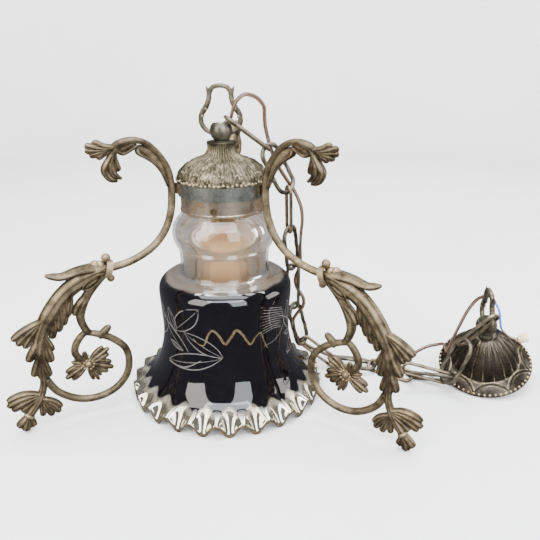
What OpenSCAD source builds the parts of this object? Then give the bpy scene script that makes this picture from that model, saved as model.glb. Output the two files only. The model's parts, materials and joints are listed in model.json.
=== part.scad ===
// Electric hanging lamp with a smoked mirror-glass bell shade, three scrolled
// arms, a dressed chain and a fluted ceiling canopy. The lamp stands on the feet
// of its arms; the chain and the canopy lie beside it.
// Origin: on the lamp's axis, in the plane it stands on. +Z up, millimetres.

/* [Cap and fitter] */
// Outer radius of the cap's rim
cap_r = 47; // [44:1:50]
// Height of the cap's rim above the standing plane
cap_rim_z = 238; // [234:1:242]
// Top of the cap's neck
cap_top_z = 276; // [272:1:278]
// Wall of the cast and spun metal parts
metal_wall = 2; // [1.5:0.5:3]
// Outer radius of the fitter ring that holds the shade
fitter_r = 43; // [42:0.5:44]
// Depth of the fitter ring
fitter_h = 16; // [12:1:18]

/* [Shade] */
// Widest radius of the crimped rim
ruffle_r = 106; // [100:1:110]
// Number of crimps round the rim
crimps = 24; // [18:2:30]
// Height of one crimp
crimp_h = 12; // [6:1:16]
// Thickness of the glass
glass_wall = 3; // [2:0.5:4]

/* [Arms] */
// Direction of the first arm
first_arm_angle = 208; // [200:1:215]
// Radius of the arm's rod
arm_rod_r = 4; // [3.5:0.5:4.5]
// Distance of each foot from the lamp's axis
foot_r = 221; // [215:1:225]

/* [Chain] */
// Outer length of every link
link_length = 58; // [56:1:60]
// Outer width of a plain wire link
plain_width = 16.5; // [14:0.5:18]
// Wire thickness of a plain link
plain_wire = 3.8; // [3:0.2:4.2]
// Outer width of a dressed link
dressed_width = 27; // [24:1:30]
// Thickness of a dressed link
dressed_wire = 5; // [4:0.5:6]
// Width of the twin flex
flex_d = 4.2; // [3.6:0.2:5]

/* [Canopy] */
// Radius of the canopy's rim
canopy_r = 52; // [50:1:55]
// Height of the canopy's bell
canopy_h = 48; // [44:1:50]
// How far the canopy leans from upright
canopy_lean = 23; // [20:1:24]
// Spacing of the fixing holes in the ceiling strap
strap_pitch = 60; // [50:1:66]

/* [Hidden] */
$fn = 48;
ARMS = ["left", "right", "back"];
LINKS = [for (i = [1:13]) str("link_", i < 10 ? "0" : "", i)];

brass = "#8a7a55";
aged = "#7d7656";
dark_bronze = "#4a4238";

// ---------------------------------------------------------------- helpers

// One point of a smooth curve through b and c, t from 0 to 1.
function curve_point(a, b, c, d, t) =
    0.5 * (2 * b + (c - a) * t + (2 * a - 5 * b + 4 * c - d) * t * t
           + (3 * b - a - 3 * c + d) * t * t * t);

// A smooth curve through every point of p, with steps pieces between two points.
function smooth(p, steps) = let (n = len(p) - 1) concat(
    [for (i = [0:n - 1], s = [0:steps - 1])
        curve_point(p[max(i - 1, 0)], p[i], p[i + 1], p[min(i + 2, n)], s / steps)],
    [p[n]]);

function unit(v) = v / norm(v);
function heading(p, i) = unit(p[min(i + 1, len(p) - 1)] - p[max(i - 1, 0)]);

// Sideways directions carried along a path without twisting.
function carried(p, i) = i == 0
    ? let (t = heading(p, 0), w = abs(t[2]) < 0.9 ? [0, 0, 1] : [0, 1, 0]) unit(cross(t, w))
    : let (t = heading(p, i), s = carried(p, i - 1)) unit(s - (s * t) * t);

// The faces of rings joined one after another, with flat ends.
function ring_faces(rings, sides) = concat(
    [[for (j = [0:sides - 1]) j]],
    [for (i = [0:rings - 2], j = [0:sides - 1]) let (k = (j + 1) % sides)
        each [[i * sides + j, (i + 1) * sides + j, (i + 1) * sides + k],
              [i * sides + j, (i + 1) * sides + k, i * sides + k]]],
    [[for (j = [sides - 1:-1:0]) (rings - 1) * sides + j]]);

// A tapered strand in the XZ plane: each point is [x, z, half width, half depth].
module strand(points, steps = 3, sides = 8) {
    p = smooth(points, steps);
    spots = [for (q = p) [q[0], q[1]]];
    polyhedron(
        [for (i = [0:len(p) - 1]) let (t = heading(spots, i))
            for (j = [0:sides - 1]) let (a = 360 * j / sides)
                [p[i][0] + t[1] * p[i][2] * cos(a), p[i][3] * sin(a),
                 p[i][1] - t[0] * p[i][2] * cos(a)]],
        ring_faces(len(p), sides));
}

// A round cable of diameter d along a path in space.
module cable(points, d, steps, sides = 8) {
    p = smooth(points, steps);
    polyhedron(
        [for (i = [0:len(p) - 1]) let (t = heading(p, i), s = carried(p, i), u = cross(t, s))
            for (j = [0:sides - 1]) let (a = 360 * j / sides)
                p[i] + d / 2 * (cos(a) * s + sin(a) * u)],
        ring_faces(len(p), sides));
}

module spun(outline) { rotate_extrude($fn = 96) polygon(outline); }
module tube(r, hole, h) {
    difference() {
        cylinder(r = r, h = h);
        translate([0, 0, -1]) cylinder(r = hole, h = h + 2);
    }
}
module hexagon_nut(across, hole, h) {
    difference() {
        cylinder(r = across / sqrt(3), h = h, $fn = 6);
        translate([0, 0, -1]) cylinder(r = hole, h = h + 2);
    }
}

// ---------------------------------------------------------- cap and fitter

tube_r = 5;              // M10 hollow threaded tube
tube_bore = 3.4;
tube_low_z = 222;
tube_high_z = 285;
neck_r = 14.5;
band_h = 14;
band_low_z = cap_rim_z - band_h;
fitter_low_z = band_low_z - fitter_h;

module cap() {
    // The cast dome: a flared neck, sloping shoulders and a rolled rim.
    color(brass) spun([
        [tube_r + 0.1, cap_top_z], [neck_r, cap_top_z], [neck_r, 268], [17, 264], [24, 261.5],
        [31, 258], [38, 252], [43.5, 246], [46.5, 242], [cap_r, cap_rim_z + 2],
        [cap_r, cap_rim_z], [cap_r - metal_wall, cap_rim_z], [43.5, 242], [40, 245.5],
        [35, 250.5], [29, 255.5], [22, 258.8], [14, 261.5], [12, 265], [12, 268],
        [tube_r + 0.1, 268]]);
}

module cap_band() {
    // The plain hoop under the cap, with a flat top that closes the dome.
    color("#8d9488") spun([
        [tube_r + 0.1, cap_rim_z - 2], [tube_r + 0.1, cap_rim_z - 4],
        [cap_r - 3.5, cap_rim_z - 4], [cap_r - 3.5, band_low_z], [cap_r - 1.5, band_low_z],
        [cap_r - 1.5, cap_rim_z], [cap_r - 3.5, cap_rim_z], [cap_r - 3.5, cap_rim_z - 2]]);
}

screw_angles = [265, 25, 145];
screw_z = fitter_low_z + 7;
screw_r = 1.75;

module fitter_ring() {
    color("#a08a66") difference() {
        spun([
            [fitter_r - 1.5, fitter_low_z], [fitter_r + 0.8, fitter_low_z],
            [fitter_r + 0.8, fitter_low_z + 1.6], [fitter_r, fitter_low_z + 2.4],
            [fitter_r, band_low_z + 3], [tube_r + 0.1, band_low_z + 3],
            [tube_r + 0.1, band_low_z + 1.2], [fitter_r - 1.5, band_low_z + 1.2]]);
        for (a = screw_angles) rotate([0, 90, a])
            translate([-screw_z, 0, fitter_r - 5]) cylinder(r = screw_r + 0.05, h = 10);
    }
}

module set_screw(a) {
    // A small slotted screw that clamps the shade's neck.
    color("#7a6a4c") rotate([0, 90, a]) translate([-screw_z, 0, 0]) difference() {
        union() {
            translate([0, 0, fitter_r - 2.5]) cylinder(r = screw_r, h = 4);
            translate([0, 0, fitter_r + 1.2]) cylinder(r = 3, h = 1.8);
        }
        translate([-0.4, -4, fitter_r + 2.4]) cube([0.8, 8, 2]);
    }
}

module threaded_tube() {
    color("#9a9284") translate([0, 0, tube_low_z]) tube(tube_r, tube_bore, tube_high_z - tube_low_z);
}

module tube_washer() {
    color("#9a9284") translate([0, 0, cap_top_z - 10]) tube(9, tube_r + 0.1, 1.5);
}

module tube_nut() {
    color("#9a9284") translate([0, 0, cap_top_z - 15]) hexagon_nut(14, tube_r + 0.05, 4.5);
}

// -------------------------------------------------------- lampholder, bulb

holder_r = 13.5;
holder_low_z = 193;
holder_bore = 7.1;       // takes a 14 mm screw cap
bulb_r = 29.5;
bulb_low_z = 96;

module holder_shell() {
    color("#5a5348") spun([
        [tube_r + 0.1, band_low_z], [tube_r + 0.1, band_low_z - 2], [holder_r - 1.5, 219],
        [holder_r - 1.5, holder_low_z], [holder_r, holder_low_z], [holder_r, 221],
        [9, band_low_z]]);
}

module holder_core() {
    color("#e8e0cc") difference() {
        translate([0, 0, holder_low_z + 1]) cylinder(r = holder_r - 1.8, h = 25);
        translate([0, 0, holder_low_z]) cylinder(r = holder_bore, h = 22);
    }
}

module holder_contact() {
    color("gold") translate([0, 0, 214.2]) cylinder(r = 2.5, h = 0.8);
}

module bulb_glass() {
    // An opal tubular bulb with a drawn-in neck.
    color("#f0d9ae") spun([
        [0, bulb_low_z], [22, bulb_low_z], [26, bulb_low_z + 1.5], [28.6, bulb_low_z + 5],
        [bulb_r, bulb_low_z + 10], [bulb_r, 162], [28.5, 167], [25.5, 172], [21, 176.5],
        [15, 180], [11.5, 182.5], [10.4, 185.5], [10.4, 191.5], [6.2, 192.2], [0, 192.2]]);
}

module bulb_cap() {
    color("#b9b2a0") translate([0, 0, 192.2]) cylinder(r = holder_bore - 0.1, h = 19.3);
}

module bulb_contact() {
    color("#6b6357") translate([0, 0, 211.5]) cylinder(r = 3, h = 1.8);
}

// ------------------------------------------------------------------- shade

collar_z = 205;
// Outside of the blown shade from the fitter down to where the crimps start.
shade_outline = [
    [40.2, 222], [39.5, 219], [39.5, 209], [43, collar_z], [47, 200], [51, 194.5],
    [53.3, 187], [53.3, 180], [51, 173], [47.6, 166], [46.8, 158], [46.8, 146], [49, 141.5],
    [56, 138.5], [64, 135], [69.3, 130], [71, 123.5], [70.5, 112], [69.5, 98], [68.6, 80],
    [69.6, 66], [72.5, 52], [77, 39], [83, 28.5], [90, 21.5]];
ruffle_steps = 6;        // facets in one crimp

// Height of the crimped rim at a share of its width and an angle.
function ruffle_z(s, a) = 21 - 13.2 * s + crimp_h / 2 * s * cos(crimps * a);
function ruffle_edge(s) = 90 + (ruffle_r - 90) * s;

module crimped_rim() {
    n = crimps * ruffle_steps;
    rows = 3;
    top = [for (i = [0:rows], j = [0:n - 1])
        let (s = i / rows, a = 360 * j / n, r = ruffle_edge(s) - (i == 0 ? 2 : 0))
        [r * cos(a), r * sin(a), ruffle_z(s, a) + glass_wall / 2]];
    low = [for (p = top) p - [0, 0, glass_wall]];
    m = len(top);
    polyhedron(concat(top, low), concat(
        [for (i = [0:rows - 1], j = [0:n - 1])
            let (k = (j + 1) % n, p = i * n + j, q = i * n + k, u = p + n, v = q + n)
            each [[p, v, u], [p, q, v], [m + p, m + u, m + v], [m + p, m + v, m + q]]],
        [for (j = [0:n - 1]) let (k = (j + 1) % n, p = rows * n + j, q = rows * n + k)
            each [[p, m + q, m + p], [p, q, m + q], [j, m + j, m + k], [j, m + k, k]]]));
}

module glass_shade() {
    outer = shade_outline;
    inner = [for (i = [len(outer) - 1:-1:0]) outer[i] - [glass_wall, i == 0 ? 0 : 0.6]];
    color("#39404a") {
        spun(concat(outer, inner));
        crimped_rim();
    }
}

// -------------------------------------------------------------------- arms

collar_spot = [122, 160];
foot_pad_r = 3;

module at_arm(i) { rotate([0, 0, first_arm_angle + 120 * i]) children(); }

module upper_arm(i) {
    color(brass) at_arm(i) {
        strand([
            [123.7, 160, 4.2, 4.2], [104, 163, 4, 4], [88, 169, 4, 4], [74, 178, 4, 4],
            [63, 191, 4, 4], [56, 208, 4, 4], [53.5, 229, 4, 4], [56, 250, 4, 4],
            [64, 266, 4, 4.5], [75, 278, 4, 5.5], [88, 283, 3.6, 6.5], [101, 281, 4, 7],
            [111, 277, 5.5, 7.5], [120, 275.5, 7.5, 9], [128, 276, 9.5, 10],
            [134, 276, 5, 7]], 2);
        strand([
            [107, 279, 4, 6], [113, 270, 5, 6.5], [116, 260, 6, 7], [113, 251, 6, 7],
            [101, 246, 1.5, 3]], 3);
        strand([[63, 259, 2.5, 4], [70, 268, 3, 5], [78, 272, 3, 5], [85, 270, 1.5, 3]], 2);
    }
}

module lower_arm(i) {
    color(brass) at_arm(i) {
        difference() {
            union() {
                // Acanthus stem from the collar down to the foot.
                strand([
                    [124, 160, 7, 7], [138, 157, 8, 8], [152, 152, 8, 8], [165, 145, 8, 8],
                    [178, 134, 8, 8], [188, 119, 7.5, 8], [193, 100, 6.5, 7], [194, 82, 5.5, 6],
                    [194, 64, 4.5, 5], [195, 48, 4, 4], [200, 34, 4.5, 5], [208, 24, 6, 6],
                    [215, 17, 7, 7], [foot_r, 7, 6.5, 6.5], [foot_r + 1, -2, 4, 4]], 2);
                leaf([124, 163], [145, 166], [163, 161], [179, 163], 6);
                leaf([192, 117], [202, 113], [210, 107], [216, 101], 6);
                leaf([194, 98], [200, 95], [205, 90], [207, 84], 5);
                leaf([194, 80], [199, 76], [203, 71], [204, 66], 4);
                leaf([191, 116], [187, 112], [183, 108], [181, 102], 5);
                leaf([191, 96], [188, 92], [185, 87], [183, 80], 5);
                leaf([199, 36], [210, 42], [222, 41], [231, 36], 6);
                leaf([199, 34], [194, 26], [189, 20], [181, 15], 5);
                // Inner stem, leaf and scroll.
                strand([
                    [125, 156, 4, 4.5], [133, 147, 4, 4.5], [142, 136, 4, 4.5],
                    [151, 124, 4.5, 5], [155, 114, 6, 7], [153, 104, 5, 6],
                    [149, 97, 3.5, 4]], 2);
                strand([
                    [150, 100, 2.5, 3], [155, 92, 2.8, 3], [160, 85, 3, 3], [162, 77, 3, 3],
                    [158, 69, 3, 3], [152, 64, 3.5, 3]], 2);
                strand([
                    [151, 97, 3, 3.5], [139, 93, 3.6, 3.8], [125, 85, 3.8, 4], [113, 72, 3.8, 4],
                    [110, 56, 3.8, 4], [114, 40, 3.8, 4], [125, 28, 3.8, 4], [140, 22, 3.8, 4],
                    [156, 22, 3.8, 4], [171, 28, 3.8, 4], [184, 39, 3.8, 4],
                    [192, 54, 4, 4.5]], 2);
                leaf([135, 89], [131, 95], [128, 99], [127, 103], 3);
                flower();
                translate([foot_r, 0, 0]) cylinder(r = foot_pad_r, h = 5);
            }
            // The foot is ground flat where it stands.
            translate([foot_r - 20, -20, -10]) cube([40, 40, 10]);
        }
    }
}

module leaf(a, b, c, d, w) {
    strand([[a[0], a[1], w, w], [b[0], b[1], w, w + 1], [c[0], c[1], w * 0.7, w],
            [d[0], d[1], 0.8, 1.2]], 2, 6);
}

flower_spot = [151, 63];
petal_tips = [[128, 74], [126, 47], [142, 41], [175, 49], [166, 71]];

module flower() {
    translate([flower_spot[0], 0, flower_spot[1]]) sphere(r = 6.5, $fn = 24);
    for (t = petal_tips) let (m = (t + flower_spot) / 2)
        strand([[flower_spot[0], flower_spot[1], 3, 4], [m[0], m[1], 5, 5],
                [t[0], t[1], 1.5, 2]], 3, 6);
}

module arm_collars() {
    // A turned collar and a pair of buds where the two castings of an arm meet.
    color(brass) for (i = [0:2]) at_arm(i) translate([collar_spot[0], 0, collar_spot[1]]) {
        rotate([0, 75, 0]) translate([0, 0, -3]) tube(9.5, 7.6, 6);
        translate([1, 0, 11.5]) sphere(r = 4.5, $fn = 24);
        translate([-2, 0, -10]) sphere(r = 3.8, $fn = 24);
    }
}

lug_z = 233;
module arm_lugs() {
    color("#b09a70") for (i = [0:2]) at_arm(i)
        translate([cap_r - 1.8, -4, lug_z - 5]) cube([4.2, 8, 10]);
}

module arm_rivets() {
    color(aged) for (i = [0:2]) at_arm(i) translate([cap_r - 5, 0, lug_z]) rotate([0, 90, 0])
        cylinder(r = 1.5, h = 14);
}

// ----------------------------------------------------------- loop and ball

ball_r = 11.3;
ball_z = 286;
wire_hole_r = 4.5;

module pierced_ball(flat_low, flat_high, bore_depth) {
    // A ball with flat ends, a tapped foot and a wire hole through the top.
    difference() {
        intersection() {
            sphere(r = ball_r);
            translate([0, 0, flat_low]) cylinder(r = 20, h = flat_high - flat_low);
        }
        translate([0, 0, flat_low - 1]) cylinder(r = tube_r + 0.05, h = bore_depth + 1);
        translate([0, 0, -1]) cylinder(r = wire_hole_r, h = 20);
        translate([0, 0, flat_high - 7]) cylinder(r1 = wire_hole_r, r2 = 8.3, h = 7.01);
    }
}

module ball_collar() {
    color("#6f6b58") translate([0, 0, ball_z]) pierced_ball(cap_top_z + 0.4 - ball_z, 7.4, 9.4);
}

// Half of the lyre-shaped loop, from the ball's side to the crown.
loop_half = [
    [9, 284, 2.5, 2.5], [15, 287, 2.8, 2.8], [19.3, 294, 2.9, 2.9], [18.5, 302, 2.8, 2.8],
    [14, 309, 2.6, 2.6], [11.2, 316, 2.5, 2.5], [10.4, 322, 2.6, 2.6], [7, 327, 2.6, 2.6],
    [0, 328.6, 2.6, 2.6]];
function mirrored(p) = [for (i = [len(p) - 2:-1:0]) [-p[i][0], p[i][1], p[i][2], p[i][3]]];

module lyre_loop() {
    strand(concat(loop_half, mirrored(loop_half)), 2);
    for (s = [-1, 1])
        strand([[s * 10, 319, 2.2, 2.1], [s * 12, 324, 1.8, 1.7], [s * 13.5, 328, 0.6, 0.6]], 1, 6);
}

module hanging_loop() { color("#77735a") lyre_loop(); }

// ------------------------------------------------------------------- chain

// Each link's middle, then its turn, rise and roll in degrees.
link_places = [
    [26.2, 2.6, 283.1, 10, -37, -7],
    [56.2, 9.2, 247.2, 14, -63, 61],
    [67.5, 18.4, 202, 87, -74, 65],
    [70.4, 30.8, 155.3, 67, -74, 99],
    [73, 36.3, 107.2, 13, -90, 106],
    [79.9, 37.9, 59.3, 16, -75, 48],
    [105.6, 42.5, 21, 0, -38, 98],
    [145.7, 40, 7.2, -11, -2, -7],
    [188.8, 26, 6.9, -32, 0, 50],
    [230.7, 2.7, 13, -27, 10, -42],
    [224.1, -4.9, 22.1, 178, 14, 95],
    [253.3, -8, 39.5, 11, 68, 21],
    [272.3, -9.4, 78.3, -28, 52, -37]];

module ring_link(width, wire) {
    bend = (width - wire) / 2;
    straight = link_length - width;
    for (s = [-1, 1]) {
        translate([-straight / 2, s * bend, 0]) rotate([0, 90, 0])
            cylinder(d = wire, h = straight);
        translate([s * straight / 2, 0, 0]) rotate([0, 0, s > 0 ? -90 : 90])
            rotate_extrude(angle = 180) translate([bend, 0]) circle(d = wire, $fn = 24);
    }
}

module chain_link(i) {
    p = link_places[i];
    translate([p[0], p[1], p[2]]) rotate([p[5], -p[4], p[3]])
        if (i % 2 == 0) color("#8c7c62") ring_link(plain_width, plain_wire);
        else color("#74745c") ring_link(dressed_width, dressed_wire);
}

// -------------------------------------------------------------------- flex

flex_stem_path = [[0, 0, 219.2], [0, 0, 241], [0, 0, 263], [0, 0, 284]];
flex_arch_path = [[0, 0, 284.4], [1, -0.5, 289.5], [4.5, -0.5, 294], [9.5, -1.5, 297.5],
    [11.5, -3.5, 303], [14.5, -6.5, 311.5], [18.5, -7, 317], [23.5, -5.5, 320.5],
    [28.5, -3.5, 320.5], [36, 1.5, 317], [42, 5, 309], [42.5, 8, 299], [43, 13, 289],
    [45, 17.5, 278]];
flex_drop_path = [[45.2, 17.5, 277.2], [50.5, 18.5, 260], [57, 20, 246], [65, 23.5, 233],
    [73, 24.5, 221], [80, 24.5, 205], [82, 25, 190], [81, 27.5, 175], [80.5, 31, 158],
    [81, 36, 142.5], [79.5, 41, 128.5], [75.5, 44, 115], [77.5, 44, 103], [85, 42, 91],
    [85, 41, 81], [79, 42, 72], [74, 44.5, 61], [76, 48, 45]];
flex_run_path = [[76.3, 48.2, 44.3], [80, 51, 34], [90, 55, 23.5], [103, 59, 14], [120, 63, 4.5],
    [138, 64, 2.5], [157, 61, 2.5], [170, 53, 2.5], [182, 46, 2.5], [196, 42, 4], [210, 46, 9],
    [223.5, 54, 16.5], [238.5, 60.5, 21.5], [249.5, 60, 24.5], [254.5, 53, 29.5], [254.5, 44, 31],
    [254.5, 34.5, 29.5]];
flex_tail_path = [[254.3, 33.5, 30.1], [253.5, 26.5, 34], [257, 24, 50.5], [263.5, 24.5, 69.5],
    [271, 25.5, 87.5], [279.5, 24.5, 101], [287.5, 16.5, 108], [289.5, 7.5, 108], [291, 3, 105.5]];

module flex_stem() { color("#8a6b5c") cable(flex_stem_path, flex_d, 2); }
module flex_arch() { color("#8a6b5c") cable(flex_arch_path, flex_d, 2); }
module flex_drop() { color("#8a6b5c") cable(flex_drop_path, flex_d, 2); }
module flex_run() { color("#8a6b5c") cable(flex_run_path, flex_d, 2); }
module flex_tail() { color("#8a6b5c") cable(flex_tail_path, flex_d, 2); }

// ------------------------------------------------------------------ canopy

canopy_spot = [297, 26];
canopy_turn = 242;       // direction it leans towards
loop_lean = 9;           // lean of its loop
rim_drop = canopy_r * sin(canopy_lean);
wall = 1.2;

// Places its children on the canopy's own axis, rim plane at z = 0.
module at_canopy() {
    translate([canopy_spot[0], canopy_spot[1], rim_drop + 0.5])
        rotate([0, 0, canopy_turn]) rotate([0, canopy_lean, 0]) children();
}

bell_outline = [
    [canopy_r, 0], [canopy_r, 2], [44, 6.5], [38, 8.5], [36.5, 11], [34.5, 18], [30.5, 27],
    [25, 35.5], [18.5, 43], [12, canopy_h - 0.8], [8.5, canopy_h]];

module canopy_bell() {
    inner = [for (i = [len(bell_outline) - 1:-1:1]) bell_outline[i] - [wall, wall * 0.8]];
    color(dark_bronze) at_canopy() spun(concat(
        [[tube_r + 0.1, canopy_h]], [for (i = [len(bell_outline) - 1:-1:0]) bell_outline[i]],
        [[canopy_r - 3, 0]], [for (i = [len(inner) - 1:-1:0]) inner[i]],
        [[tube_r + 0.1, canopy_h - wall]]));
}

module canopy_collar() {
    color("#6c6350") at_canopy() translate([0, 0, canopy_h + 0.3]) tube(8, tube_r + 0.05, 5);
}

module canopy_stem() {
    color("#9a9284") at_canopy() tube(tube_r, tube_bore, canopy_h + 11.5);
}

module canopy_ball() {
    color("#55503f") at_canopy() translate([0, 0, canopy_h + 14.5])
        pierced_ball(-8.9, 7.4, 6.4);
}

module canopy_loop() {
    // The loop hangs nearer to upright than the canopy does.
    color("#55503f") at_canopy() translate([0, 0, canopy_h + 14.5])
        rotate([0, loop_lean - canopy_lean, 0]) rotate([0, 0, 90 - canopy_turn])
        translate([0, 0, -ball_z]) lyre_loop();
}

module canopy_nut() {
    color("#9a9284") at_canopy() translate([0, 0, 6.1]) hexagon_nut(14, tube_r + 0.05, 4);
}

module ceiling_strap() {
    // A flat strap that screws to the ceiling and carries the whole lamp.
    color("#a5a39a") at_canopy() translate([0, 0, 4]) difference() {
        translate([-36, -7, 0]) cube([72, 14, 2]);
        translate([0, 0, -1]) cylinder(r = tube_r + 0.05, h = 4);
        for (s = [-1, 1]) translate([s * strap_pitch / 2, 0, -1]) cylinder(r = 2.2, h = 4);
    }
}

module strap_nuts() {
    color("#9a9284") at_canopy() translate([0, 0, 0.4]) hexagon_nut(14, tube_r + 0.05, 3.5);
}

blue_core_path = [[291.2, 2.6, 105.3], [293.8, 1.5, 101.5], [298, 4, 93], [302.5, 11, 79.5],
    [307.5, 20, 69], [314.5, 33.5, 59]];
lead_path = [[315, 34, 58.5], [322.5, 38, 50.5], [330, 39.5, 46], [335, 39.5, 44.5]];

module blue_core() { color("#2b6fe0") cable(blue_core_path, 2.6, 2); }
module bare_lead() { color("#d9b98c") cable(lead_path, 2.4, 2); }

module terminal() {
    // A short cream connector sleeve with a tapered mouth.
    color("#e5cf9a") translate([336.2, 39, 44.2]) rotate([0, 78, 6]) difference() {
        union() {
            cylinder(r1 = 3.2, r2 = 5.2, h = 5);
            translate([0, 0, 5]) cylinder(r = 5.2, h = 6);
        }
        translate([0, 0, 5]) cylinder(r = 3.6, h = 7);
    }
}

// ---------------------------------------------------------------- assembly

cap();
cap_band();
fitter_ring();
for (i = [0:2]) set_screw(screw_angles[i]);
threaded_tube();
tube_washer();
tube_nut();
holder_shell();
holder_core();
holder_contact();
bulb_glass();
bulb_cap();
bulb_contact();
glass_shade();
arm_collars();
arm_lugs();
arm_rivets();
ball_collar();
hanging_loop();
for (i = [0:2]) upper_arm(i);
for (i = [0:2]) lower_arm(i);
for (i = [0:12]) chain_link(i);
flex_stem();
flex_arch();
flex_drop();
flex_run();
flex_tail();
canopy_bell();
canopy_collar();
canopy_ball();
canopy_loop();
canopy_stem();
canopy_nut();
ceiling_strap();
strap_nuts();
terminal();
blue_core();
bare_lead();
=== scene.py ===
"""Looks for the hanging lamp: smoked mirror shade, cast arms, chain, flex and canopy."""
import json
import math

import bpy
from mathutils import Matrix, Vector, noise


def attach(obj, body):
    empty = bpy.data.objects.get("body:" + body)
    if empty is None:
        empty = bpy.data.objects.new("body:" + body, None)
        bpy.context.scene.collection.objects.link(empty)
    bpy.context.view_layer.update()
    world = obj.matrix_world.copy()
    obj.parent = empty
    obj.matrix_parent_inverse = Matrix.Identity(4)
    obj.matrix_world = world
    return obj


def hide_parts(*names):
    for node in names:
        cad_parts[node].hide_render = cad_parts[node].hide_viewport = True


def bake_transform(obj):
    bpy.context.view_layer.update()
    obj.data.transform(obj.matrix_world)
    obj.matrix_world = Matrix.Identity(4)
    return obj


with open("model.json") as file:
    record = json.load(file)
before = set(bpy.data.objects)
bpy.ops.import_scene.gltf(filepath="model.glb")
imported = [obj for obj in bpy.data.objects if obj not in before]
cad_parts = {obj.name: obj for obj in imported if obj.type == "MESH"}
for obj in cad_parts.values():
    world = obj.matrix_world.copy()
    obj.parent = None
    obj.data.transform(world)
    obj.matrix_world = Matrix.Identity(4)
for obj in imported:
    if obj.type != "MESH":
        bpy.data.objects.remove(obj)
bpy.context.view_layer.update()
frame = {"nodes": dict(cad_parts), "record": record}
nodes = frame["nodes"]

MM = 0.001
TAU = 2 * math.pi
ARMS = ["left", "right", "back"]
FIRST_ARM = math.radians(208)
CRIMPS = 24     # pleats round the shade's rim


# ---------------------------------------------------------------- camera

def aim_camera():
    """The view that the lamp was drawn from."""
    data = bpy.data.cameras.new("camera")
    data.sensor_width = 36
    data.lens = 38.7
    camera = bpy.data.objects.new("camera", data)
    camera.location = (0.076, -0.582, 0.356)
    camera.rotation_euler = (math.radians(69.68), 0, math.radians(2.72))
    bpy.context.collection.objects.link(camera)
    bpy.context.scene.camera = camera


aim_camera()


# --------------------------------------------------------------- helpers

def smooth(points, steps):
    """A smooth curve through every point, with steps pieces between two points."""
    last = len(points) - 1
    curve = []
    for i in range(last):
        a, b, c, d = (points[max(i - 1, 0)], points[i], points[i + 1], points[min(i + 2, last)])
        for s in range(steps):
            t = s / steps
            curve.append([0.5 * (2 * q + (r - p) * t + (2 * p - 5 * q + 4 * r - w) * t * t
                                 + (3 * q - p - 3 * r + w) * t ** 3)
                          for p, q, r, w in zip(a, b, c, d)])
    curve.append(list(points[-1]))
    return curve


def spot(r, angle, z):
    """A point at a radius, an angle in radians and a height."""
    return (r * math.cos(angle), r * math.sin(angle), z)


def turns(count, start=0.0):
    """Angles in radians, evenly spaced round a circle; start is a share of one step."""
    return [TAU * (i + start) / count for i in range(count)]


def make_object(name, verts, faces, material, place=Matrix()):
    """A smooth-shaded mesh from points in millimetres."""
    mesh = bpy.data.meshes.new(name)
    mesh.from_pydata([place @ Vector(v) * MM for v in verts], [], faces)
    mesh.validate()
    mesh.polygons.foreach_set("use_smooth", [True] * len(mesh.polygons))
    obj = bpy.data.objects.new(name, mesh)
    bpy.context.collection.objects.link(obj)
    obj.data.materials.append(material)
    return obj


class Shape:
    """Points and faces that several strands, beads and surfaces are added to."""

    def __init__(self):
        self.verts = []
        self.faces = []

    def rings(self, rings, caps=True, closed=False):
        """Joins rings of points, each of the same length, into a skin."""
        base = len(self.verts)
        sides = len(rings[0])
        for ring in rings:
            self.verts.extend(ring)
        count = len(rings)
        for i in range(count if closed else count - 1):
            low, high = base + i * sides, base + (i + 1) % count * sides
            for j in range(sides):
                k = (j + 1) % sides
                self.faces.append((low + j, low + k, high + k, high + j))
        if caps and not closed:
            self.faces.append(tuple(base + j for j in reversed(range(sides))))
            self.faces.append(tuple(base + (count - 1) * sides + j for j in range(sides)))

    def ball(self, centre, radius, flatten=1.0, axis=Vector((0, 0, 1)), detail=8):
        """A bead, flattened along an axis."""
        axis = Vector(axis).normalized()
        side = axis.orthogonal().normalized()
        other = axis.cross(side)
        rings = []
        for i in range(1, detail):
            a = math.pi * i / detail
            rings.append([Vector(centre) - axis * math.cos(a) * radius * flatten
                          + (side * math.cos(b) + other * math.sin(b)) * radius * math.sin(a)
                          for b in (TAU * j / detail for j in range(detail))])
        self.rings(rings)

    def strand(self, points, steps=4, sides=16, grooves=0, depth=0.0, lobes=0, lobe_depth=0.0):
        """A tapered strand in the XZ plane: each point is [x, z, half width, half depth].
        grooves run along it; lobes cut its edges into leaf teeth."""
        line = smooth(points, steps)
        last = len(line) - 1
        rings = []
        for i, (x, z, wide, deep) in enumerate(line):
            before, after = line[max(i - 1, 0)], line[min(i + 1, last)]
            along = Vector((after[0] - before[0], 0, after[1] - before[1])).normalized()
            across = Vector((-along.z, 0, along.x))
            teeth = 1 - lobe_depth * abs(math.cos(math.pi * lobes * i / last)) if lobes else 1
            ring = []
            for j in range(sides):
                a = TAU * j / sides
                cut = 1 - depth * (0.5 + 0.5 * math.cos(grooves * a)) if grooves else 1
                edge = teeth if abs(math.cos(a)) > 0.4 else 1
                ring.append(Vector((x, 0, z)) + across * wide * math.cos(a) * cut * edge
                            + Vector((0, 1, 0)) * deep * math.sin(a) * cut)
            rings.append(ring)
        self.rings(rings)

    def make(self, name, material, place=Matrix(), floor=False):
        """The mesh object; floor keeps its points from sinking under the table."""
        obj = make_object(name, self.verts, self.faces, material, place)
        if floor:
            for vertex in obj.data.vertices:
                vertex.co.z = max(vertex.co.z, 0)
        return obj


def stand_in(obj, body, slot, *replaced):
    """Rides the piece on a body and hides the solids it stands for; slot is not used."""
    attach(obj, body)
    if replaced:
        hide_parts(*replaced)
    return obj


# ------------------------------------------------------------- materials

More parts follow.
